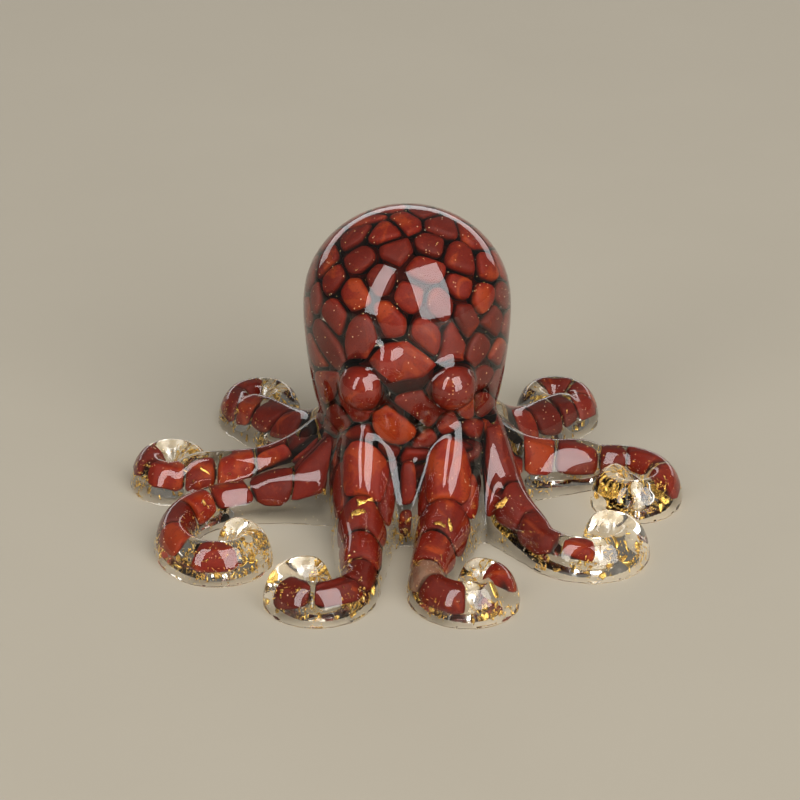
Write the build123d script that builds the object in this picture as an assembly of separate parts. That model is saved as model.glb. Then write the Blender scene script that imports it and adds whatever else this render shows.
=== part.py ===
from build123d import *
import math
import os
import random

import numpy as np

os.makedirs("parts", exist_ok=True)
random.seed(23)

# Mantle: the egg-shaped head, its axis leaning back from the middle of the arms
MANTLE_DIAMETER = 29.0
MANTLE_CROWN = 13.4
MANTLE_DEPTH = 30.0
MANTLE_CENTRE_HEIGHT = 29.4
MANTLE_SET_BACK = 5.0
MANTLE_LEAN_DEG = 9.0
EGG_STEPS = 8

# Web: the low dome that joins the arms under the mantle
WEB_DIAMETER = 27.0
WEB_HEIGHT = 19.0

# Eyes: two round mounds low on the front of the mantle
EYE_DIAMETER = 6.8
EYE_SPACING = 12.2
EYE_HEIGHT = 22.6
EYE_FORWARD = 8.7

# Arms: flat-footed sections, rounded over the top, tapering along a straight run into a curl
ARM_ROOT_RADIUS = 9.5
ARM_ROOT_OVERLAP = 6.0
ARM_RUN = 20.0
ARM_ROOT_WIDTH = 10.4
ARM_TIP_WIDTH = 5.7
ARM_ROOT_HEIGHT = 16.5
ARM_TIP_HEIGHT = 5.8
CURL_RADIUS = 3.15
RUN_STOP_SHARES = (0.0, 0.25, 0.55, 1.0)
RUN_WIDTH_SHARES = (1.0, 0.75, 0.42, 0.0)
RUN_HEIGHT_SHARES = (1.0, 0.52, 0.2, 0.0)
FOOT_OVERRUN = 3.0
RIDGE_FLAT = 0.35

# Each arm: root azimuth, root radius share, heading, run share, hand of the curl (left is 1), arcs of
# the curl as (radius share, degrees), shares of the length where the packed chips end and a lone chip lies
ARMS = {
    "back_left": (148, 0.95, 133, 1.22, -1, ((1.25, 120), (1.0, 160)), 0.64, 0.76),
    "left": (172, 0.95, 180, 1.20, -1, ((1.25, 120), (1.0, 160)), 0.62, 0.74),
    "front_left": (195, 0.97, 187, 0.66, 1, ((4.0, 40), (2.9, 90), (1.6, 100), (1.0, 110)), 0.62, 0.78),
    "front_mid_left": (237, 1.12, 268, 0.93, -1, ((1.9, 70), (1.5, 80), (1.0, 130)), 0.62, 0.74),
    "front_mid_right": (305, 1.15, 258, 0.87, 1, ((2.0, 70), (1.5, 80), (1.0, 130)), 0.62, 0.90),
    "front_right": (338, 1.25, 300, 0.74, 1, ((2.5, 60), (1.7, 80), (1.0, 110)), 0.46, 0.56),
    "right": (12, 1.00, 14, 0.96, -1, ((2.2, 80), (1.6, 100), (1.0, 150)), 0.58, 0.69),
    "back_right": (34, 1.15, 47, 1.16, 1, ((1.25, 120), (1.0, 160)), 0.66, 0.78),
}

# Stone chips: tumbled red jasper, packed close under a skin of clear resin
SKIN = 0.7
CHIP_GAP = 0.45
CHIP_THICKNESS = 3.6
CHIP_CROWN = 0.8
CHIP_REACH = 4.6
CHIP_SIDES = 8
CHIP_SCATTER = 0.85
CHIP_TOP_SHARE = 0.78
CHIP_FOOT_SHARE = 0.60
CHIP_LOWEST = 5.0
CORE_LOWEST = 14.0
CHIP_NEIGHBOURHOOD = 18.0
MANTLE_CHIPS = 180
CORE_CHIPS = 28
CORE_CHIP_THICKNESS = 2.4
EYE_CLEARANCE = 5.4
WEB_CHIP_TURN_DEG = 271.0
WEB_CHIP_HEIGHTS = (3.4, 7.2)
WEB_CHIP_THICKNESS = 1.6
CHIP_TRIM_SHARES = (0.85, 1.0)

# Arm chips: they sank to the top of the upturned mould, so the foot of an arm is clear
ARM_CHIP_LENGTH = 5.6
ARM_CHIP_NARROWEST = 2.2
ARM_CHIP_SPLIT_HEIGHT = 9.0
ARM_CHIP_SPLIT_WIDTH = 7.6
ARM_CHIP_LOW_SHARE = 0.40
ARM_CHIP_HIGH_SHARE = 0.97
ARM_CHIP_SKEW_SHARE = 0.30
ARM_CHIP_ARC_STEPS = 3
CHIP_SHOULDER_SHARE = 0.2
CHIP_END_SHARE = 0.78
LONE_CHIP_LENGTH = 4.2
LONE_CHIP_SHARE = 0.85
CENTRE_LINE_STEP = 0.5

# Gold foil: thin torn flakes, in the clear feet of the arms and in the curls
FLAKE_SIZE = 1.5
FLAKE_SIZE_SHARES = (0.55, 1.0)
FLAKE_EDGE_SHARES = (0.7, 1.0)
FLAKE_THICKNESS = 0.12
FLAKE_SPACING = 1.7
FLAKE_START_SHARE = 0.42
FLAKE_FLOOR = 0.35
FLAKE_OUTLINE_SHARES = ((-0.50, -0.18), (-0.05, -0.42), (0.50, -0.08), (0.22, 0.40), (-0.30, 0.30))

GOLDEN_ANGLE = math.pi * (3 - math.sqrt(5))


# Geometry shared by the casting and what is cast into it

def unit(vector):
    return vector / np.linalg.norm(vector)


def plan_direction(angle):
    return np.array([math.cos(angle), math.sin(angle)])


def lean(point):
    """Turn a point of the upright egg about X, and move it to the mantle's centre."""
    angle = math.radians(MANTLE_LEAN_DEG)
    x, y, z = point
    leaned_y = y * math.cos(angle) + z * math.sin(angle)
    leaned_z = z * math.cos(angle) - y * math.sin(angle)
    return np.array([x, leaned_y + MANTLE_SET_BACK, leaned_z + MANTLE_CENTRE_HEIGHT])


def egg_point(height_share, turn, inset):
    """Point of the egg drawn in by an inset; the share runs from -1 (foot) to 1 (crown)."""
    length = MANTLE_CROWN if height_share > 0 else MANTLE_DEPTH
    radius = (MANTLE_DIAMETER / 2 - inset) * math.sqrt(1 - height_share ** 2)
    upright = (radius * math.cos(turn), radius * math.sin(turn), (length - inset) * height_share)
    return lean(upright)


def egg_normal(height_share, turn):
    """Outward direction of the egg at the same place."""
    length = MANTLE_CROWN if height_share > 0 else MANTLE_DEPTH
    flat = math.sqrt(1 - height_share ** 2) / (MANTLE_DIAMETER / 2)
    upright = (flat * math.cos(turn), flat * math.sin(turn), height_share / length)
    return unit(lean(upright) - lean((0, 0, 0)))


def round_side(half_width, height, far=False):
    """Quarter of an ellipse between one side and a narrow flat at the top."""
    size = math.degrees(math.acos(RIDGE_FLAT / half_width))
    start = 180 - size if far else 0
    return EllipticalCenterArc((0, 0), half_width, height, start_angle=start, arc_size=size)


class Arm:
    """Centre line and sections of one arm: a straight run, then arcs that tighten to the tip."""

    def __init__(self, azimuth, radius_share, heading, run_share, hand, arcs, chip_end_share,
                 lone_chip_share):
        turn = math.radians(azimuth)
        root = ARM_ROOT_RADIUS * radius_share
        self.hand = hand
        self.run = ARM_RUN * run_share
        self.chip_end_share = chip_end_share
        self.lone_chip_share = lone_chip_share
        self.heading = math.radians(heading)
        self.root = root * np.array([math.cos(turn), math.sin(turn)])
        self.arcs = [(CURL_RADIUS * share, math.radians(degrees)) for share, degrees in arcs]
        self.length = self.run + sum(radius * angle for radius, angle in self.arcs)

    def place(self, along):
        """Plan position and heading at a distance along the arm."""
        straight = min(along, self.run)
        heading = self.heading
        point = self.root + straight * plan_direction(heading)
        left = along - straight
        for radius, angle in self.arcs:
            swept = min(left / radius, angle)
            centre = point + self.hand * radius * plan_direction(heading + math.pi / 2)
            heading += self.hand * swept
            point = centre - self.hand * radius * plan_direction(heading + math.pi / 2)
            left -= swept * radius
        return point, heading

    def bend_radius(self, along):
        """Radius of the centre line, without limit on the straight run."""
        reached = self.run
        for radius, angle in self.arcs:
            if reached <= along <= reached + radius * angle:
                return radius
            reached += radius * angle
        return math.inf

    def size(self, along):
        """Width and height of the section: the taper of the run ends where the curl starts."""
        share = min(max(along / self.run, 0), 1)
        wide = np.interp(share, RUN_STOP_SHARES, RUN_WIDTH_SHARES)
        tall = np.interp(share, RUN_STOP_SHARES, RUN_HEIGHT_SHARES)
        width = ARM_TIP_WIDTH + (ARM_ROOT_WIDTH - ARM_TIP_WIDTH) * wide
        return width, ARM_TIP_HEIGHT + (ARM_ROOT_HEIGHT - ARM_TIP_HEIGHT) * tall

    def section(self, along, half=False):
        """Face across the arm: half an ellipse over the table, with a foot below it to be cut flat."""
        point, heading = self.place(along)
        forward = plan_direction(heading)
        width, height = self.size(along)
        plane = Plane((*point, 0), x_dir=(-forward[1], forward[0], 0), z_dir=(*forward, 0))
        with BuildSketch(plane) as face:
            with BuildLine():
                near = round_side(width / 2, height)
                foot = (width / 2, -FOOT_OVERRUN)
                if half:
                    Polyline(near @ 1, (0, (near @ 1).Y), (0, -FOOT_OVERRUN), foot, near @ 0)
                else:
                    far = round_side(width / 2, height, far=True)
                    Line(near @ 1, far @ 0)
                    Polyline(far @ 1, (-width / 2, -FOOT_OVERRUN), foot, near @ 0)
            make_face()
        return face.sketch.face()

    def solids(self):
        """The tapering run, each arc of the curl and the round tip."""
        stops = [-ARM_ROOT_OVERLAP] + [self.run * share for share in RUN_STOP_SHARES]
        pieces = [loft([self.section(stop) for stop in stops])]
        along = self.run
        for radius, angle in self.arcs:
            point, heading = self.place(along)
            centre = point + self.hand * radius * plan_direction(heading + math.pi / 2)
            axis = Axis((*centre, 0), (0, 0, self.hand))
            pieces.append(revolve(self.section(along), axis, math.degrees(angle)))
            along += radius * angle
        point, _ = self.place(self.length)
        pieces.append(revolve(self.section(self.length, half=True), Axis((*point, 0), (0, 0, -1)), 180))
        return pieces


# Casting: one pour of clear resin in an open mould, flat where it rests on the table

def egg_solid(radius, top, foot):
    """Egg about the Z axis, its widest ring at zero, with a tiny flat at each pole."""
    pole = math.acos(RIDGE_FLAT / radius)
    outline = []
    for step in range(-EGG_STEPS, EGG_STEPS + 1):
        angle = pole * step / EGG_STEPS
        outline.append((radius * math.cos(angle), (top if step > 0 else foot) * math.sin(angle)))
    with BuildSketch(Plane.XZ) as half:
        with BuildLine():
            side = Spline(*outline)
            Polyline(side @ 1, (0, (side @ 1).Y), (0, (side @ 0).Y), side @ 0)
        make_face()
    return revolve(half.sketch, Axis.Z)


def mantle_solid():
    place = Location((0, MANTLE_SET_BACK, MANTLE_CENTRE_HEIGHT), (-MANTLE_LEAN_DEG, 0, 0))
    return place * egg_solid(MANTLE_DIAMETER / 2, MANTLE_CROWN, MANTLE_DEPTH)


def web_solid():
    return egg_solid(WEB_DIAMETER / 2, WEB_HEIGHT, WEB_HEIGHT)


def eye_centres():
    return [np.array([side * EYE_SPACING / 2, -EYE_FORWARD, EYE_HEIGHT]) for side in (-1, 1)]


def casting_solid(arms):
    reach = 4 * (ARM_RUN + MANTLE_DIAMETER)
    table = Pos(0, 0, -reach / 2) * Box(reach, reach, reach)
    body = mantle_solid() - table
    for centre in eye_centres():
        body = body.fuse(Location(tuple(centre), (90, 0, 0)) * Sphere(EYE_DIAMETER / 2))
    body = body.fuse(web_solid() - table)
    for arm in arms.values():
        run, *curl = arm.solids()
        body = body.fuse(run.fuse(*curl) - table)
    return body


# Stone chips

def faceted_chip(outline, centre, across, along, up, rise, drop):
    """Tumbled chip: a polygon with a smaller flat top and foot; outline points are in the plane."""
    rings = [(rise, CHIP_TOP_SHARE), (0, 1), (-drop, CHIP_FOOT_SHARE)]
    wires = []
    for height, scale in rings:
        middle = np.mean(outline, axis=0)
        corners = [centre + up * height + across * x + along * y
                   for x, y in middle + scale * (np.array(outline) - middle)]
        wires.append(Wire.make_polygon([tuple(corner) for corner in corners], close=True))
    return loft([Face(wire) for wire in wires], ruled=True)


def clip(outline, normal, limit):
    """Keep the part of a convex outline with normal . point under the limit."""
    kept = []
    for start, end in zip(outline, outline[1:] + outline[:1]):
        near = limit - np.dot(normal, start)
        far = limit - np.dot(normal, end)
        if near >= 0:
            kept.append(start)
        if near * far < 0:
            kept.append(start + (end - start) * near / (near - far))
    return kept


def across_and_along(normal):
    """Two directions at right angles in the plane that a normal stands on."""
    axis = (0, 1, 0) if abs(normal[0]) > abs(normal[1]) else (1, 0, 0)
    across = unit(np.cross(axis, normal))
    return across, np.cross(normal, across)


def layer_chips(count, inset, thickness, lowest, keep_out):
    """Chips of one layer of the egg: each fills its share of the surface between its neighbours."""
    seeds = []
    for index in range(count):
        rise = MANTLE_CROWN - (MANTLE_CROWN + MANTLE_DEPTH) * (2 * index + 1) / (2 * count)
        share = rise / MANTLE_CROWN if rise > 0 else rise / MANTLE_DEPTH
        turn = index * GOLDEN_ANGLE
        normal = egg_normal(share, turn)
        across, along = across_and_along(normal)
        astray = CHIP_SCATTER * np.array([random.uniform(-1, 1), random.uniform(-1, 1)])
        point = egg_point(share, turn, inset) + astray[0] * across + astray[1] * along
        far_off = all(np.linalg.norm(point - other) > clear for other, clear in keep_out)
        if point[2] > lowest and far_off:
            seeds.append((point, normal))
    others = [point for point, _ in seeds] + [point for point, _ in keep_out]
    chips = []
    for point, normal in seeds:
        across, along = across_and_along(normal)
        outline = [CHIP_REACH * plan_direction(2 * math.pi * side / CHIP_SIDES) for side in range(CHIP_SIDES)]
        for other in others:
            gap = other - point
            distance = np.linalg.norm(gap)
            if 0 < distance < CHIP_NEIGHBOURHOOD:
                flat = np.array([np.dot(gap, across), np.dot(gap, along)]) / distance
                outline = clip(outline, flat, distance / 2 - CHIP_GAP / 2)
        chip = faceted_chip(outline, point, across, along, normal, CHIP_CROWN, thickness - CHIP_CROWN)
        chips.append((point, chip))
    return chips


def outside_mantle(point):
    """True where a point lies clear of the egg."""
    angle = math.radians(MANTLE_LEAN_DEG)
    x, y, z = point - np.array([0, MANTLE_SET_BACK, MANTLE_CENTRE_HEIGHT])
    upright_y = y * math.cos(angle) - z * math.sin(angle)
    upright_z = z * math.cos(angle) + y * math.sin(angle)
    length = MANTLE_CROWN if upright_z > 0 else MANTLE_DEPTH
    return (x ** 2 + upright_y ** 2) / (MANTLE_DIAMETER / 2) ** 2 + (upright_z / length) ** 2 > 1


def room_aside(arm, along, others):
    """Half widths left and right of the centre line that the skin and the other arms leave free."""
    point, heading = arm.place(along)
    left = plan_direction(heading + math.pi / 2)
    half = arm.size(along)[0] / 2 - SKIN
    room = {1: half, -1: half}
    for line in others:
        gap = line[np.argmin(np.linalg.norm(line - point, axis=1))] - point
        distance = np.linalg.norm(gap)
        lean_over = np.dot(gap, left) / distance
        side = 1 if lean_over > 0 else -1
        room[side] = min(room[side], (distance - 2 * CHIP_GAP) / (1 + abs(lean_over)))
    return room[1], room[-1]


def section_outline(left, right, height, low, high, side):
    """Outline across the arm between two heights: the whole width (side 0), or one half of it."""
    rise = np.linspace(math.asin(low / height), math.asin(high / height), ARM_CHIP_ARC_STEPS)
    left_arc = [(left * math.cos(turn), height * math.sin(turn)) for turn in rise]
    right_arc = [(-right * math.cos(turn), height * math.sin(turn)) for turn in rise]
    if side > 0:
        return left_arc + [(CHIP_GAP / 2, high), (CHIP_GAP / 2, low)]
    if side < 0:
        return right_arc + [(-CHIP_GAP / 2, high), (-CHIP_GAP / 2, low)]
    return left_arc + right_arc[::-1]


def slice_chip(arm, ends, skews, share, bounds, side, others):
    """Chip cut across the arm between two slanting ends, with worn ends; None where there is no room."""
    stops = [(0, CHIP_END_SHARE), (CHIP_SHOULDER_SHARE, 1), (1 - CHIP_SHOULDER_SHARE, 1), (1, CHIP_END_SHARE)]
    wires = []
    for step, scale in stops:
        along = ends[0] + step * (ends[1] - ends[0])
        skew = skews[0] + step * (skews[1] - skews[0])
        point, heading = arm.place(along)
        forward = np.array([*plan_direction(heading), 0])
        left = np.array([*plan_direction(heading + math.pi / 2), 0])
        left_room, right_room = room_aside(arm, along, others)
        height = arm.size(along)[1] - SKIN
        low, high = (height * bound for bound in bounds)
        if min(left_room, right_room) < 0 or left_room + right_room < ARM_CHIP_NARROWEST:
            return None
        low = low + CHIP_GAP / 2
        high = high - CHIP_GAP / 2
        outline = np.array(section_outline(left_room, right_room, height, low, high, side))
        middle = outline.mean(axis=0)
        outline = middle + share * scale * (outline - middle)
        sideways = left + skew * forward
        corners = [np.array([*point, v]) + u * sideways for u, v in outline]
        if not all(outside_mantle(corner) for corner in corners):
            return None
        wires.append(Wire.make_polygon([tuple(corner) for corner in corners], close=True))
    return loft([Face(wire) for wire in wires], ruled=True)


def arm_chips(name):
    """Chips from the mantle to where the arm turns clear, split where it is tall or wide, and a lone one."""
    arm = arms[name]
    others = [line for other, line in centre_lines.items() if other != name]
    chips = []
    along = 0
    skew = 0
    end = arm.length * arm.chip_end_share
    while along < end:
        longest = min(ARM_CHIP_LENGTH, arm.bend_radius(along + ARM_CHIP_LENGTH))
        length = longest * random.uniform(*CHIP_TRIM_SHARES)
        next_skew = random.uniform(-1, 1) * ARM_CHIP_SKEW_SHARE
        width, height = arm.size(along + length)
        tops = [(ARM_CHIP_LOW_SHARE, ARM_CHIP_HIGH_SHARE)]
        if height > ARM_CHIP_SPLIT_HEIGHT:
            split = (ARM_CHIP_LOW_SHARE + ARM_CHIP_HIGH_SHARE) / 2
            tops = [(ARM_CHIP_LOW_SHARE, split), (split, ARM_CHIP_HIGH_SHARE)]
        found = []
        for bounds in tops:
            sides = (-1, 1) if width > ARM_CHIP_SPLIT_WIDTH and bounds == tops[0] else (0,)
            for side in sides:
                ends = (along, along + length)
                found.append(slice_chip(arm, ends, (skew, next_skew), 1, bounds, side, others))
        found = [chip for chip in found if chip is not None]
        chips += found
        if found:
            along += length + CHIP_GAP
            skew = next_skew
        else:
            along += CHIP_GAP
    start = max(arm.length * arm.lone_chip_share - LONE_CHIP_LENGTH / 2, along + CHIP_GAP)
    lone = slice_chip(arm, (start, start + LONE_CHIP_LENGTH), (0, 0), LONE_CHIP_SHARE,
                      (ARM_CHIP_LOW_SHARE, ARM_CHIP_HIGH_SHARE), 0, others)
    return chips + [lone]


def web_chips():
    """Column of chips up the front of the web, between the two middle arms."""
    turn = math.radians(WEB_CHIP_TURN_DEG)
    seeds = []
    for height in WEB_CHIP_HEIGHTS:
        radius = (WEB_DIAMETER / 2 - SKIN - CHIP_CROWN) * math.sqrt(1 - (height / WEB_HEIGHT) ** 2)
        plan = plan_direction(turn)
        slope = unit(np.array([*plan * radius / (WEB_DIAMETER / 2) ** 2, height / WEB_HEIGHT ** 2]))
        seeds.append((np.array([*plan * radius, height]), slope))
    chips = []
    for point, normal in seeds:
        across, along = across_and_along(normal)
        outline = [CHIP_REACH * plan_direction(2 * math.pi * side / CHIP_SIDES) for side in range(CHIP_SIDES)]
        for other, _ in seeds:
            gap = other - point
            distance = np.linalg.norm(gap)
            if distance > 0:
                flat = np.array([np.dot(gap, across), np.dot(gap, along)]) / distance
                outline = clip(outline, flat, distance / 2 - CHIP_GAP / 2)
        for name, line in centre_lines.items():
            nearest = np.argmin(np.linalg.norm(line - point[:2], axis=1))
            gap = np.array([*(line[nearest] - point[:2]), 0])
            distance = np.linalg.norm(gap)
            room = distance - arms[name].size(nearest * CENTRE_LINE_STEP)[0] / 2 + SKIN - CHIP_GAP
            flat = np.array([np.dot(gap, across), np.dot(gap, along)]) / distance
            outline = clip(outline, flat, room)
        outline = clip(outline, np.array([-across[2], -along[2]]), point[2] - 2 * SKIN)
        chips.append(faceted_chip(outline, point, across, along, normal, CHIP_CROWN, WEB_CHIP_THICKNESS))
    return chips


def eye_stone(centre):
    """Round stone that fills an eye mound, facing forward."""
    radius = EYE_DIAMETER / 2 - SKIN
    outline = [radius * plan_direction(2 * math.pi * side / CHIP_SIDES) for side in range(CHIP_SIDES)]
    return faceted_chip(outline, centre, np.array([1, 0, 0]), np.array([0, 0, 1]), np.array([0, -1, 0]),
                        radius * CHIP_TOP_SHARE, radius * CHIP_FOOT_SHARE)


# Gold foil

def flake(centre, size):
    """Thin torn plate of foil, turned any way."""
    tilt = Location(tuple(centre), tuple(random.uniform(0, 360) for _ in range(3)))
    corners = []
    for u, v in FLAKE_OUTLINE_SHARES:
        reach = size * random.uniform(*FLAKE_EDGE_SHARES)
        corners.append((reach * u, reach * v))
    return tilt * extrude(make_face(Polyline(*corners, close=True)), FLAKE_THICKNESS)


def arm_flakes(arm):
    """Flakes under the chips of an arm and in its curl, a step apart."""
    flakes = []
    start = arm.length * FLAKE_START_SHARE
    for along in np.arange(start, arm.length, FLAKE_SPACING):
        point, heading = arm.place(along)
        width, _ = arm.size(along)
        size = FLAKE_SIZE * random.uniform(*FLAKE_SIZE_SHARES)
        off = (width / 2 - SKIN - size / 2) * random.uniform(-1, 1)
        x, y = point + off * plan_direction(heading + math.pi / 2)
        flakes.append(flake((x, y, FLAKE_FLOOR + size / 2), size))
    return flakes


# Build every piece, then cut the room that each cast-in piece takes out of the resin

arms = {name: Arm(*row) for name, row in ARMS.items()}
centre_lines = {}
for name, arm in arms.items():
    steps = np.arange(0, arm.length, CENTRE_LINE_STEP)
    centre_lines[name] = np.array([arm.place(along)[0] for along in steps])
nodes = {}

keep_out = [(centre, EYE_CLEARANCE) for centre in eye_centres()]
skin_layer = layer_chips(MANTLE_CHIPS, SKIN + CHIP_CROWN, CHIP_THICKNESS, CHIP_LOWEST, keep_out)
core_inset = SKIN + 2 * CHIP_THICKNESS
core_layer = layer_chips(CORE_CHIPS, core_inset, CORE_CHIP_THICKNESS, CORE_LOWEST, [])


def zone(point):
    """Name of the mantle zone that a chip lies in."""
    x, y, z = point - np.array([0, MANTLE_SET_BACK, MANTLE_CENTRE_HEIGHT])
    if z > MANTLE_CROWN / 2:
        return "crown_chips"
    if z < -MANTLE_CROWN / 2 and y < 0:
        return "face_chips"
    if abs(x) > abs(y):
        return "mantle_right_chips" if x > 0 else "mantle_left_chips"
    return "mantle_front_chips" if y < 0 else "mantle_back_chips"


for point, chip in skin_layer:
    nodes.setdefault(zone(point), []).append(chip)
nodes["core_chips"] = [chip for _, chip in core_layer]
nodes["web_chips"] = web_chips()
for name, centre in zip(("left_eye_stone", "right_eye_stone"), eye_centres()):
    nodes[name] = [eye_stone(centre)]
for name, arm in arms.items():
    nodes["arm_" + name + "_chips"] = arm_chips(name)
    nodes["arm_" + name + "_foil"] = arm_flakes(arm)

resin = casting_solid(arms)
cast_in = [piece for pieces in nodes.values() for piece in pieces]
nodes["resin_casting"] = [resin.cut(*cast_in)]

for name, pieces in nodes.items():
    shape = pieces[0].solid() if len(pieces) == 1 else Compound(children=list(pieces))
    export_step(shape, "parts/" + name + ".step")
    print(name, len(pieces), "solids", round(sum(piece.volume for piece in pieces), 1), "mm3")
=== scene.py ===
import random
from math import cos, pi, radians, sin

import bmesh
import bpy
from mathutils import Euler, Matrix, Vector, noise
from mathutils.bvhtree import BVHTree


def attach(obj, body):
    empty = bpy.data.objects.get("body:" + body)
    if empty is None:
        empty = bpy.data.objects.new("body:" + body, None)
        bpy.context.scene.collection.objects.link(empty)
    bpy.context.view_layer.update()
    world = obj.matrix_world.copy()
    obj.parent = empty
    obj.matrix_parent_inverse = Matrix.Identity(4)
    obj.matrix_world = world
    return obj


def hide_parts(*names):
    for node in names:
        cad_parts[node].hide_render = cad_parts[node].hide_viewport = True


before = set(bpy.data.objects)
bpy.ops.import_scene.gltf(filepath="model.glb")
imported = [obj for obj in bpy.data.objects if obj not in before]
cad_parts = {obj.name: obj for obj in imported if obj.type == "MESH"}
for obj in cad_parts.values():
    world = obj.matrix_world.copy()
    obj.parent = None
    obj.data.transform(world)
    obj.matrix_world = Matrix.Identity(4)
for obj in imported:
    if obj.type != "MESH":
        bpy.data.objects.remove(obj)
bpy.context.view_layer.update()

# Both are seeded, so every run draws the same numbers and bends by the same noise
random.seed(11)
noise.seed_set(11)

# Clear casting
# The whole body of the octopus, poured in clear resin in a soft open mould and cured in one piece.
# The mould's inside corners are round, so head, eyes and arms run into each other in soft hollows.
SEAM_REACH = 1e-6
CASTING_VOXEL = 0.0004
CASTING_SMOOTHING = 12
SMOOTH_FACTOR = 0.5
BODY_MIDDLE_Y = 0.002
CREASE_ROUNDS = 22
CREASE_REACH = 0.019
CREASE_LEAST = 0.000004
EYE_CREASE_ROUNDS = 50
EYE_CREASE_REACH = 0.0065
BROW_PLACE = Vector((-0.0028, -0.0090, 0.0267))
BROW_REACH = 0.0036
BROW_RISE = 0.0013
RESIN_TINT = (0.98, 0.95, 0.885, 1.0)
RESIN_HAZE_TINT = (0.94, 0.885, 0.78, 1.0)
RESIN_SHADOW_TINT = (0.97, 0.945, 0.90, 1.0)
RESIN_INDEX = 1.5
RESIN_ROUGHNESS = 0.015
SCUFF_ROUGHNESS = 0.03
RIPPLE_HEIGHT = 0.0004
RIPPLE_STRENGTH = 0.22


class Paint:
    """One socket of a material: sums and products of numbers add their own nodes."""

    def __init__(self, tree, socket=None):
        self.tree = tree
        self.socket = socket

    def node(self, kind, settings=None, inputs=None, output=0):
        made = self.tree.nodes.new("ShaderNode" + kind)
        for name, value in (settings or {}).items():
            setattr(made, name, value)
        for name, value in (inputs or {}).items():
            if isinstance(value, Paint):
                self.tree.links.new(value.socket, made.inputs[name])
            else:
                made.inputs[name].default_value = value
        return Paint(self.tree, made.outputs[output] if made.outputs else None)

    def math(self, operation, first, second):
        return self.node("Math", {"operation": operation}, {0: first, 1: second})

    def __add__(self, other):
        return self.math("ADD", self, other)

    def __radd__(self, other):
        return self.math("ADD", other, self)

    def __sub__(self, other):
        return self.math("SUBTRACT", self, other)

    def __rsub__(self, other):
        return self.math("SUBTRACT", other, self)

    def __rmul__(self, other):
        return self.math("MULTIPLY", other, self)

    def mix(self, first, second):
        """Colour between two, with this number as the share of the second."""
        settings = {"data_type": "RGBA"}
        return self.node("Mix", settings, {0: self, 6: first, 7: second}, output=2)

    def between(self, low, high):
        """This number as a share of the way from low to high, held to 0 and 1."""
        inputs = {"Value": self, "From Min": low, "From Max": high}
        return self.node("MapRange", {"interpolation_type": "SMOOTHSTEP"}, inputs)


def new_paint(name):
    """A material with an empty tree, and the brush that fills it."""
    material = bpy.data.materials.new(name)
    material.use_nodes = True
    material.node_tree.nodes.clear()
    return material, Paint(material.node_tree)


def merged_copy(node):
    """The CAD node's mesh as a bmesh whose loose triangles are joined up."""
    shape = bmesh.new()
    shape.from_mesh(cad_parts[node].data)
    bmesh.ops.remove_doubles(shape, verts=shape.verts, dist=SEAM_REACH)
    return shape


def islands(shape):
    """Lists of the vertices that hang together."""
    found = []
    seen = set()
    for start in shape.verts:
        if start in seen:
            continue
        seen.add(start)
        group = [start]
        for vertex in group:
            for edge in vertex.link_edges:
                other = edge.other_vert(vertex)
                if other not in seen:
                    seen.add(other)
                    group.append(other)
        found.append(group)
    return found


def make_piece(name, shape, material):
    """Turn a bmesh into a smooth-shaded piece of the octopus."""
    mesh = bpy.data.meshes.new(name)
    shape.to_mesh(mesh)
    mesh.shade_smooth()
    mesh.materials.append(material)
    piece = bpy.data.objects.new(name, mesh)
    bpy.context.scene.collection.objects.link(piece)
    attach(piece, "root")
    return piece


clear_resin, brush = new_paint("clear_resin")
place = brush.node("TexCoord", output=3)
haze = brush.node("TexNoise", {}, {"Vector": place, "Scale": 90.0, "Detail": 4.0})
ripple = brush.node("TexNoise", {}, {"Vector": place, "Scale": 140.0, "Detail": 1.0})
scuffs = brush.node("TexNoise", {}, {"Vector": place, "Scale": 900.0, "Detail": 3.0})
ripples = brush.node("Bump", {}, {
    "Height": ripple,
    "Strength": RIPPLE_STRENGTH,
    "Distance": RIPPLE_HEIGHT,
})
resin_shader = brush.node("BsdfPrincipled", {}, {
    "Base Color": haze.mix(RESIN_TINT, RESIN_HAZE_TINT),
    "Roughness": RESIN_ROUGHNESS + SCUFF_ROUGHNESS * scuffs,
    "Normal": ripples,
    "IOR": RESIN_INDEX,
    "Transmission Weight": 1.0,
})
lamp_rays = brush.node("LightPath", output="Is Shadow Ray")
through = brush.node("BsdfTransparent", {}, {"Color": RESIN_SHADOW_TINT})
resin_mix = brush.node("MixShader", {}, {0: lamp_rays, 1: resin_shader, 2: through})
brush.node("OutputMaterial", {}, {"Surface": resin_mix})

casting_shape = merged_copy("resin_casting")
pockets = sorted(islands(casting_shape), key=len)[:-1]
pocket_points = [vertex for pocket in pockets for vertex in pocket]
bmesh.ops.delete(casting_shape, geom=pocket_points, context="VERTS")
rough_casting = make_piece("rough_casting", casting_shape, clear_resin)
casting_shape.free()
remesh = rough_casting.modifiers.new("voxels", "REMESH")
remesh.mode = "VOXEL"
remesh.voxel_size = CASTING_VOXEL
remeshed = bpy.data.meshes.new_from_object(
    rough_casting.evaluated_get(bpy.context.evaluated_depsgraph_get()))
bpy.data.objects.remove(rough_casting)

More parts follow.
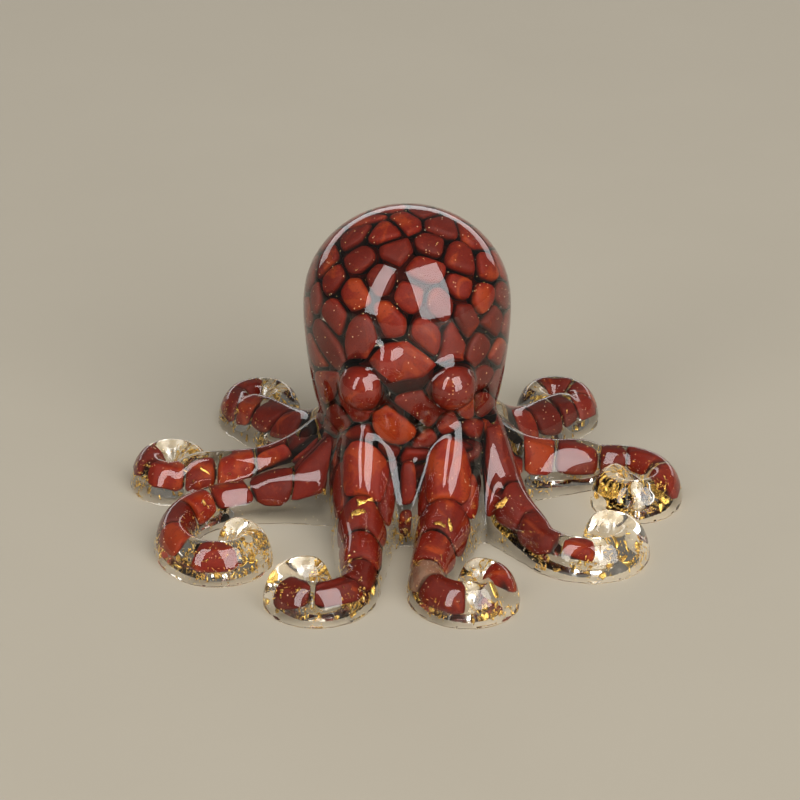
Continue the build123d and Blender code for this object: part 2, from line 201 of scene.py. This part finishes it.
casting_shape = bmesh.new()
casting_shape.from_mesh(remeshed)
for turn in range(CASTING_SMOOTHING):
    bmesh.ops.smooth_vert(casting_shape, verts=casting_shape.verts, factor=SMOOTH_FACTOR,
                          use_axis_x=True, use_axis_y=True, use_axis_z=True)
eye_middles = []
for node in ("left_eye_stone", "right_eye_stone"):
    corners = [vertex.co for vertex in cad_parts[node].data.vertices]
    eye_middles.append(sum(corners, Vector()) / len(corners))
beside = {vertex: [edge.other_vert(vertex) for edge in vertex.link_edges]
          for vertex in casting_shape.verts}
near_body = [vertex for vertex in casting_shape.verts
             if Vector((vertex.co.x, vertex.co.y - BODY_MIDDLE_Y)).length < CREASE_REACH]
near_eyes = [vertex for vertex in near_body
             if min((vertex.co - middle).length for middle in eye_middles) < EYE_CREASE_REACH]
# Only hollow corners are smoothed, so the round tops of arms, eyes and head keep their height
for turn in range(CREASE_ROUNDS + EYE_CREASE_ROUNDS):
    casting_shape.normal_update()
    hollows = {}
    for vertex in near_body if turn < CREASE_ROUNDS else near_eyes:
        middle = sum((other.co for other in beside[vertex]), Vector()) / len(beside[vertex])
        if (middle - vertex.co).dot(vertex.normal) > CREASE_LEAST:
            hollows.update(dict.fromkeys(beside[vertex]))
    bmesh.ops.smooth_vert(casting_shape, verts=list(hollows), factor=SMOOTH_FACTOR,
                          use_axis_x=True, use_axis_y=True, use_axis_z=True)
casting_shape.normal_update()


def brow_bulge(place):
    """How far the mould stands out at a place, where one stone bulges above the left eye."""
    share = max(0.0, 1 - (place - BROW_PLACE).length / BROW_REACH)
    return BROW_RISE * share * share * (3 - 2 * share)


for vertex in near_body:
    vertex.co += brow_bulge(vertex.co) * vertex.normal
casting_shape.normal_update()
clear_casting = make_piece("clear_casting", casting_shape, clear_resin)
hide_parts("resin_casting")
casting_tree = BVHTree.FromBMesh(casting_shape)
casting_points = [(vertex.co.copy(), vertex.normal.copy()) for vertex in casting_shape.verts]
casting_shape.free()


# Stone chips
# Tumbled red jasper, opaque and fine grained, each chip worn round at its edges. They were tipped
# into the mould and the resin poured over them, so they lie packed together with gaps between.
# The shade in those gaps is painted dark onto the chips' sunken sides.
CHIP_FLAT_ANGLE = 4
CHIP_SHORT_EDGE = 0.0003
CHIP_WEAR = 0.0007
CHIP_FULLNESS = 0.00014
CHIP_DRIFT = 0.0012
CHIP_DRIFT_GRAIN = 150
CHIP_SKIN = 0.00016
CHIP_REDDEST_TONE = 0.95
EYE_STONE_REACH = 0.0039
EYE_GAP_REACH = 0.0054
EYE_CROWD_REACH = 0.0090
GREY_CHIP_PLACE = Vector((0.0027, -0.0279, 0.0035))
GREY_CHIP_REACH = 0.0015
GREY_CHIP_SIZE = 0.85
GREY_CHIP_TONE = 1.0
JASPER_BRICK = (0.130, 0.0062, 0.0010, 1.0)
JASPER_DEEP = (0.058, 0.0034, 0.0008, 1.0)
JASPER_ORANGE = (0.22, 0.031, 0.0035, 1.0)
JASPER_GREY = (0.15, 0.10, 0.066, 1.0)
# Painted shade: the near-black that the chips' sunken sides take on, standing in for the shade in
# the gaps
GAP_PAINTED_SHADE = (0.006, 0.003, 0.002, 1.0)
TONE_WEIGHT = 0.7
CLOUD_WEIGHT = 0.6
TONE_DROP = 0.15
VEIN_SHARE = 0.6
VEIN_TONE_WEIGHT = 0.22
VEIN_EDGE = (0.64, 0.80)
GREY_SHARE = 0.8
GREY_EDGE = (0.97, 0.98)
DARK_SPECKLE_SHARE = 0.55
DARK_SPECKLE_EDGE = (0.56, 0.70)
LIGHT_SPECKLE_SHARE = 0.35
LIGHT_SPECKLE_EDGE = (0.60, 0.72)
GAP_SHADE_EDGE_MM = (0.7, 1.6)
GRAIN_STRENGTH = 0.25
GRAIN_HEIGHT = 0.00006
JASPER_ROUGHNESS = 0.42
CLOUD_ROUGHNESS = 0.25
JASPER_SPECULAR = 0.12
MM_PER_METRE = 1000

red_jasper, brush = new_paint("red_jasper")
place = brush.node("TexCoord", output=3)
tone = brush.node("Attribute", {"attribute_name": "tone"}, output="Fac")
painted_shade_depth = brush.node("Attribute", {"attribute_name": "painted_shade_depth"}, output="Fac")
clouds = brush.node("TexNoise", {}, {
    "Vector": place,
    "Scale": 420.0,
    "Detail": 5.0,
    "Roughness": 0.6,
})
speckle = brush.node("TexNoise", {}, {"Vector": place, "Scale": 3600.0, "Detail": 2.0})
veins = brush.node("TexNoise", {}, {
    "Vector": place,
    "Scale": 260.0,
    "Detail": 6.0,
    "Distortion": 1.2,
})
redness = (TONE_WEIGHT * tone + CLOUD_WEIGHT * clouds - TONE_DROP).between(0.0, 1.0)
vein = VEIN_SHARE * (veins + VEIN_TONE_WEIGHT * tone).between(*VEIN_EDGE)
grey = GREY_SHARE * tone.between(*GREY_EDGE)
dark_speckle = DARK_SPECKLE_SHARE * speckle.between(*DARK_SPECKLE_EDGE)
light_speckle = LIGHT_SPECKLE_SHARE * (1 - speckle).between(*LIGHT_SPECKLE_EDGE)
body = redness.mix(JASPER_DEEP, JASPER_BRICK)
body = vein.mix(body, JASPER_ORANGE)
body = grey.mix(body, JASPER_GREY)
body = dark_speckle.mix(body, JASPER_DEEP)
body = light_speckle.mix(body, JASPER_ORANGE)
# Painted shade: the deeper a point lies below its chip's top, the closer its colour goes to the
# painted gap shade
body = painted_shade_depth.between(*GAP_SHADE_EDGE_MM).mix(body, GAP_PAINTED_SHADE)
grain = brush.node("Bump", {}, {
    "Height": speckle,
    "Strength": GRAIN_STRENGTH,
    "Distance": GRAIN_HEIGHT,
})
jasper_shader = brush.node("BsdfPrincipled", {}, {
    "Base Color": body,
    "Roughness": JASPER_ROUGHNESS + CLOUD_ROUGHNESS * clouds,
    "Normal": grain,
    "Specular IOR Level": JASPER_SPECULAR,
})
brush.node("OutputMaterial", {}, {"Surface": jasper_shader})


def middle_x(chip):
    """How far right the middle of a chip lies, which sets the order in which tones are drawn."""
    return sum(vertex.co.x for vertex in chip) / len(chip)


def tumbled(node, fullness):
    """The node's chips worn round, with each chip's tone and each point's depth below its top,
    which paints shade into the gaps.
    """
    shape = merged_copy(node)
    bmesh.ops.dissolve_limit(shape, angle_limit=radians(CHIP_FLAT_ANGLE), verts=shape.verts,
                             edges=shape.edges, use_dissolve_boundaries=False)
    for chip in islands(shape):
        bmesh.ops.remove_doubles(shape, verts=chip, dist=CHIP_SHORT_EDGE)
    loose = [edge for edge in shape.edges if edge.is_wire]
    bmesh.ops.delete(shape, geom=loose, context="EDGES")
    slits = [edge for edge in shape.edges if edge.is_boundary]
    bmesh.ops.holes_fill(shape, edges=slits, sides=0)
    for chip in islands(shape):
        edges = dict.fromkeys(edge for vertex in chip for edge in vertex.link_edges)
        bmesh.ops.bevel(shape, geom=list(edges), offset=CHIP_WEAR, offset_type="OFFSET",
                        segments=1, profile=0.5, affect="EDGES", clamp_overlap=True, material=-1)
    shape.normal_update()
    for vertex in shape.verts:
        vertex.co += fullness * vertex.normal
    blanks = make_piece("blanks", shape, red_jasper)
    rounding = blanks.modifiers.new("rounding", "SUBSURF")
    rounding.levels = rounding.render_levels = 1
    rounded = bpy.data.meshes.new_from_object(
        blanks.evaluated_get(bpy.context.evaluated_depsgraph_get()))
    bpy.data.objects.remove(blanks)
    shape.clear()
    shape.from_mesh(rounded)
    tone = shape.verts.layers.float.new("tone")
    painted_shade_depth = shape.verts.layers.float.new("painted_shade_depth")
    for chip in sorted(islands(shape), key=middle_x):
        chip_tone = random.uniform(0, CHIP_REDDEST_TONE)
        middle = sum((vertex.co for vertex in chip), Vector()) / len(chip)
        if (middle - GREY_CHIP_PLACE).length < GREY_CHIP_REACH:
            chip_tone = GREY_CHIP_TONE
            for vertex in chip:
                vertex.co = middle + GREY_CHIP_SIZE * (vertex.co - middle)
        depths = []
        for vertex in chip:
            skin, outward = casting_tree.find_nearest(vertex.co)[:2]
            drift = CHIP_DRIFT * noise.noise_vector(vertex.co * CHIP_DRIFT_GRAIN)
            vertex.co += drift - drift.dot(outward) * outward + brow_bulge(vertex.co) * outward
            for eye_middle in eye_middles:
                away = vertex.co - eye_middle
                if EYE_STONE_REACH < away.length < EYE_CROWD_REACH:
                    share = (EYE_CROWD_REACH - away.length) / (EYE_CROWD_REACH - EYE_GAP_REACH)
                    closer = EYE_CROWD_REACH - share * (EYE_CROWD_REACH - EYE_STONE_REACH)
                    vertex.co = eye_middle + max(closer, EYE_STONE_REACH) * away.normalized()
            skin, outward = casting_tree.find_nearest(vertex.co)[:2]
            depth = (skin - vertex.co).dot(outward)
            if depth < CHIP_SKIN:
                vertex.co = skin - CHIP_SKIN * outward
            depths.append(max(depth, CHIP_SKIN) * MM_PER_METRE)
        # Each point's depth below its chip's top, which the jasper uses to paint shade into the
        # gaps
        for vertex, depth in zip(chip, depths):
            vertex[tone] = chip_tone
            vertex[painted_shade_depth] = depth - min(depths)
    return shape


for node in sorted(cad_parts):
    if node.endswith("_chips"):
        chips = tumbled(node, CHIP_FULLNESS)
        stones = make_piece(node.replace("chips", "stones"), chips, red_jasper)
        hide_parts(node)
        chips.free()

# Eye stones
# One round jasper stone in each eye mound, the same stuff as the chips. Each was pressed into the
# hollow of the mould before the pour, so it fills its mound close up to the skin.
EYE_FULLNESS = 0.0006

for node in ("left_eye_stone", "right_eye_stone"):
    eye = tumbled(node, EYE_FULLNESS)
    bead = make_piece(node.replace("stone", "bead"), eye, red_jasper)
    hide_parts(node)
    eye.free()

# Gold foil
# Scraps of imitation gold leaf, thin, crumpled and bright. They were stirred into the resin that
# fills the curls, and the cured resin holds them.
FOIL_CUTS = 2
FOIL_CRUMPLE = 0.00016
FOIL_CRUMPLE_GRAIN = 1500
FOIL_YELLOW = (1.0, 0.72, 0.20, 1.0)
FOIL_BROWN = (0.74, 0.44, 0.09, 1.0)
FOIL_BROWN_EDGE = (0.3, 0.7)
FOIL_METALLIC = 0.95
FOIL_ROUGHNESS = 0.16
CREASE_ROUGHNESS = 0.24
FOLD_STRENGTH = 0.7
FOLD_HEIGHT = 0.0002

gold_foil, brush = new_paint("gold_foil")
place = brush.node("TexCoord", output=3)
creases = brush.node("TexNoise", {}, {"Vector": place, "Scale": 2600.0, "Detail": 3.0})
folds = brush.node("Bump", {}, {
    "Height": creases,
    "Strength": FOLD_STRENGTH,
    "Distance": FOLD_HEIGHT,
})
foil_shader = brush.node("BsdfPrincipled", {}, {
    "Base Color": creases.between(*FOIL_BROWN_EDGE).mix(FOIL_BROWN, FOIL_YELLOW),
    "Metallic": FOIL_METALLIC,
    "Roughness": FOIL_ROUGHNESS + CREASE_ROUGHNESS * creases,
    "Normal": folds,
})
brush.node("OutputMaterial", {}, {"Surface": foil_shader})

for node in sorted(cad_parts):
    if node.endswith("_foil"):
        scraps = merged_copy(node)
        bmesh.ops.subdivide_edges(scraps, edges=scraps.edges, cuts=FOIL_CUTS, use_grid_fill=True)
        for vertex in scraps.verts:
            vertex.co += FOIL_CRUMPLE * noise.noise_vector(vertex.co * FOIL_CRUMPLE_GRAIN)
        leaf = make_piece(node.replace("foil", "leaf"), scraps, gold_foil)
        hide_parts(node)
        scraps.free()

# Gold scraps
# Smaller crumbs of the same leaf, stirred into the resin with it. They drifted down into the feet
# and curls of the arms and set there in swarms, bent and torn.
SCRAP_TRIES = 56000
SCRAP_SIZES = (0.00007, 0.00042)
SCRAP_SHAPES = (0.10, 0.55)
SCRAP_SINK = (0.00015, 0.00280)
SCRAP_THICKNESS = 0.000025
SCRAP_TABLE_GAP = 2 * SCRAP_THICKNESS
SCRAP_CRUMPLE = 0.55
SCRAP_CRUMPLE_GRAIN = 4000
SCRAP_INNER_REACH = 0.0100
SCRAP_WEB_REACH = 0.0165
SCRAP_WEB_SCALE = 1.6
SCRAP_WEB_COPIES = 2
SWARM_GRAIN = 170
SWARM_FRINGE = 0.35
SWARM_LEAST_IN_WEB = 0.08
SWARM_LEAST_IN_ARMS = 0.30
SCRAP_LOWEST = 0.0004
SCRAP_HIGHEST = 0.0054

scraps = bmesh.new()
for index in range(SCRAP_TRIES):
    point, normal = random.choice(casting_points)
    reach = Vector((point.x, point.y - BODY_MIDDLE_Y)).length
    crowding = noise.noise(point * SWARM_GRAIN) + SWARM_FRINGE * random.random()
    in_web = reach < SCRAP_WEB_REACH
    sparse = crowding < (SWARM_LEAST_IN_WEB if in_web else SWARM_LEAST_IN_ARMS)
    if reach < SCRAP_INNER_REACH or not SCRAP_LOWEST < point.z < SCRAP_HIGHEST or sparse:
        continue
    for copy in range(SCRAP_WEB_COPIES if in_web else 1):
        centre = point - normal * random.uniform(*SCRAP_SINK)
        if centre.z < SCRAP_LOWEST:
            continue
        turned = Euler([random.uniform(0, 2 * pi) for axis in range(3)]).to_matrix().to_4x4()
        size = SCRAP_SIZES[0] + (SCRAP_SIZES[1] - SCRAP_SIZES[0]) * random.random() ** 2
        size *= SCRAP_WEB_SCALE if in_web else 1
        stretched = Matrix.Diagonal((size, size * random.uniform(*SCRAP_SHAPES), size, 1))
        patch = bmesh.ops.create_grid(scraps, x_segments=2, y_segments=1, size=1,
                                      matrix=Matrix.Translation(centre) @ turned @ stretched)
        for vertex in patch["verts"]:
            vertex.co += SCRAP_CRUMPLE * size * noise.noise_vector(vertex.co * SCRAP_CRUMPLE_GRAIN)
            vertex.co.z = max(vertex.co.z, SCRAP_TABLE_GAP)
bmesh.ops.solidify(scraps, geom=scraps.faces[:], thickness=SCRAP_THICKNESS)
bmesh.ops.recalc_face_normals(scraps, faces=scraps.faces[:])
make_piece("gold_scraps", scraps, gold_foil)
scraps.free()

# Gold leaf
# A few larger torn pieces of the leaf that stuck to the wall of the mould and lie crumpled over the
# stones of the arms, just under the skin.
LEAF_PLACES = (
    (-0.0056, -0.0163, 0.0091),
    (-0.0068, -0.0178, 0.0078),
    (0.0046, -0.0199, 0.0075),
    (0.0061, -0.0193, 0.0072),
    (0.0128, -0.0124, 0.0063),
    (-0.0285, -0.0009, 0.0057),
    (0.0205, 0.0234, 0.0057),
)
LEAF_LENGTHS = (0.0007, 0.0013)
LEAF_SHAPES = (0.22, 0.45)
LEAF_CELLS = (9, 4)
LEAF_TEAR = 0.0006
LEAF_TEAR_GRAIN = 1100
LEAF_DROP = 0.002
LEAF_SINK = (0.00005, 0.00014)

leaves = bmesh.new()
for place in LEAF_PLACES:
    skin, outward = casting_tree.find_nearest(Vector(place))[:2]
    length = random.uniform(*LEAF_LENGTHS)
    facing_out = outward.to_track_quat("Z", "Y").to_matrix().to_4x4()
    laid = facing_out @ Matrix.Rotation(random.uniform(0, pi), 4, "Z")
    stretched = Matrix.Diagonal((length, length * random.uniform(*LEAF_SHAPES), length, 1))
    patch = bmesh.ops.create_grid(leaves, x_segments=LEAF_CELLS[0], y_segments=LEAF_CELLS[1],
                                  size=1, matrix=Matrix.Translation(skin) @ laid @ stretched)
    for vertex in patch["verts"]:
        vertex.co += LEAF_TEAR * noise.noise_vector(vertex.co * LEAF_TEAR_GRAIN)
        wall, facing = casting_tree.ray_cast(vertex.co + LEAF_DROP * outward, -outward)[:2]
        vertex.co = wall - random.uniform(*LEAF_SINK) * facing
bmesh.ops.solidify(leaves, geom=leaves.faces[:], thickness=SCRAP_THICKNESS)
bmesh.ops.recalc_face_normals(leaves, faces=leaves.faces[:])
make_piece("gold_leaf", leaves, gold_foil)
leaves.free()

# Gold specks
# The dust of the leaf, fine glints of the same metal. It was stirred into the resin too, and hangs
# just under the skin everywhere. The yellow is the leaf's own colour, and a pale share of it is
# painted glint.
SPECK_TRIES = 2600
SPECK_LOWEST = 0.0008
SPECK_SIZES = (0.00003, 0.00010)
SPECK_SIDES = 5
SPECK_TAPER = 0.7
SPECK_FLATNESS = 0.6
SPECK_SINK = (0.00018, 0.00050)
# Painted glint: a pale colour that stands in for light caught by the specks, so they look bright
# from any side
SPECK_PAINTED_GLINT = (0.95, 0.86, 0.66, 1.0)
SPECK_PAINTED_GLINT_EDGE = (0.3, 0.7)
SPECK_METALLIC = 0.55
SPECK_ROUGHNESS = 0.25
GLITTER_ROUGHNESS = 0.2

speck_gold, brush = new_paint("speck_gold")
place = brush.node("TexCoord", output=3)
# Noise that sets each place's share of painted glint in the speck colour, and varies the roughness
glint_paint_and_roughness = brush.node("TexNoise", {}, {"Vector": place, "Scale": 5000.0, "Detail": 1.0})
speck_shader = brush.node("BsdfPrincipled", {}, {
    "Base Color": glint_paint_and_roughness.between(*SPECK_PAINTED_GLINT_EDGE).mix(FOIL_YELLOW, SPECK_PAINTED_GLINT),
    "Metallic": SPECK_METALLIC,
    "Roughness": SPECK_ROUGHNESS + GLITTER_ROUGHNESS * glint_paint_and_roughness,
})
brush.node("OutputMaterial", {}, {"Surface": speck_shader})

specks = bmesh.new()
for index in range(SPECK_TRIES):
    point, normal = random.choice(casting_points)
    if point.z < SPECK_LOWEST:
        continue
    centre = point - normal * random.uniform(*SPECK_SINK)
    turned = Euler([random.uniform(0, 2 * pi) for axis in range(3)]).to_matrix().to_4x4()
    size = random.uniform(*SPECK_SIZES)
    bmesh.ops.create_cone(specks, cap_ends=True, segments=SPECK_SIDES, radius1=size,
                          radius2=SPECK_TAPER * size, depth=SPECK_FLATNESS * size,
                          matrix=Matrix.Translation(centre) @ turned)
make_piece("gold_specks", specks, speck_gold)
specks.free()

# Floor, lamps and camera
# A plain pale table with two soft windows of light in front of it, a low panel of light behind the
# octopus, and a pale room around. The camera stands where the photograph was taken from.
FLOOR_REACH = 6.0
FLOOR_PALE = (0.385, 0.345, 0.275, 1.0)
FLOOR_SHADE = (0.32, 0.285, 0.22, 1.0)
FLOOR_MOTTLE = 0.3
FLOOR_ROUGHNESS = 0.6
FLOOR_SPECULAR = 0.2
ROOM_TINT = (1.0, 0.95, 0.88, 1.0)
ROOM_LIGHT = 0.14
HEAD_MIDDLE = Vector((0.0, 0.005, 0.029))
# Each lamp: degrees to the right of the camera, degrees up, width and height in metres, watts
LAMPS = {
    "right_window": (32, 35, 1.40, 2.48, 72.0),
    "left_strip": (-40, 35, 0.54, 2.32, 26.0),
    "back_panel": (180, 8, 4.00, 0.40, 8.5),
}
LAMP_DISTANCE = 2.0
CAMERA_PLACE = (-0.000994, -0.38906, 0.20603)
CAMERA_TILT = 64.0
CAMERA_LENS = 139.4
CAMERA_SENSOR = 36.0
CAMERA_NEAREST = 0.01

pale_table, brush = new_paint("pale_table")
place = brush.node("TexCoord", output=3)
mottle = brush.node("TexNoise", {}, {"Vector": place, "Scale": 30.0, "Detail": 5.0})
table_shader = brush.node("BsdfPrincipled", {}, {
    "Base Color": (FLOOR_MOTTLE * mottle).mix(FLOOR_PALE, FLOOR_SHADE),
    "Roughness": FLOOR_ROUGHNESS,
    "Specular IOR Level": FLOOR_SPECULAR,
})
brush.node("OutputMaterial", {}, {"Surface": table_shader})
floor_shape = bmesh.new()
bmesh.ops.create_grid(floor_shape, x_segments=1, y_segments=1, size=FLOOR_REACH)
floor_mesh = bpy.data.meshes.new("floor")
floor_shape.to_mesh(floor_mesh)
floor_shape.free()
floor_mesh.materials.append(pale_table)
floor = bpy.data.objects.new("floor", floor_mesh)
bpy.context.scene.collection.objects.link(floor)

for name, (aside, up, width, height, watts) in LAMPS.items():
    lamp = bpy.data.lights.new(name, "AREA")
    lamp.shape = "RECTANGLE"
    lamp.size = width
    lamp.size_y = height
    lamp.energy = watts
    holder = bpy.data.objects.new(name, lamp)
    aside, up = radians(aside), radians(up)
    towards = Vector((sin(aside) * cos(up), -cos(aside) * cos(up), sin(up)))
    holder.location = HEAD_MIDDLE + LAMP_DISTANCE * towards
    holder.rotation_euler = towards.to_track_quat("Z", "Y").to_euler()
    bpy.context.scene.collection.objects.link(holder)

room = bpy.data.worlds.new("room")
room.use_nodes = True
room_light = room.node_tree.nodes["Background"]
room_light.inputs["Color"].default_value = ROOM_TINT
room_light.inputs["Strength"].default_value = ROOM_LIGHT
bpy.context.scene.world = room

camera = bpy.data.cameras.new("camera")
camera.lens = CAMERA_LENS
camera.sensor_width = CAMERA_SENSOR
camera.clip_start = CAMERA_NEAREST
camera_holder = bpy.data.objects.new("camera", camera)
camera_holder.location = CAMERA_PLACE
camera_holder.rotation_euler = (radians(CAMERA_TILT), 0, 0)
bpy.context.scene.collection.objects.link(camera_holder)
bpy.context.scene.camera = camera_holder
bpy.context.scene.view_settings.view_transform = "Standard"
